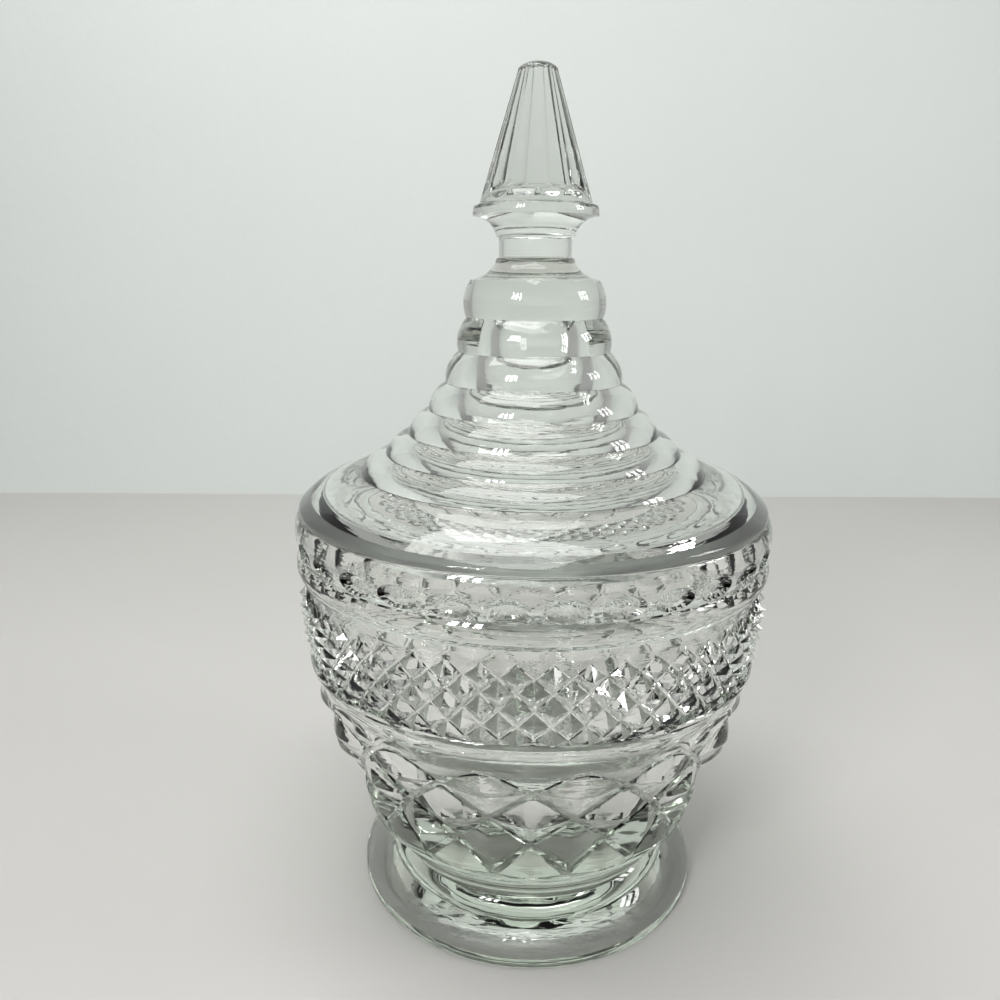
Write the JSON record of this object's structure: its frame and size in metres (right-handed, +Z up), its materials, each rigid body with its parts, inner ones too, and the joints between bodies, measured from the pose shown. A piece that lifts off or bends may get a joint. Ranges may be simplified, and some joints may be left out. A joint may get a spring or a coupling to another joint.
{
  "type": "covered candy dish",
  "caption": "Footed candy dish of clear pressed glass with a diamond-point bowl and a stepped lift-off lid topped by a fluted spire.",
  "frame": {"origin": "centre of the foot's underside, on the surface the dish stands on", "axes": "+Z up along the turning axis of bowl and lid; +Y away from the side facing the viewer, +X to the viewer's right"},
  "size_m": [0.1296, 0.1296, 0.2234],
  "materials": {
    "glass": "clear, fire-polished, with moulded facets"
  },
  "bodies": {
    "bowl": {"bowl": "glass"},
    "lid": {"lid": "glass"}
  },
  "joints": [
    {"name": "lid_lift", "type": "slide", "parent": "bowl", "child": "lid", "axis": [0, 0, 1], "range_m": [0, 0.13]}
  ]
}
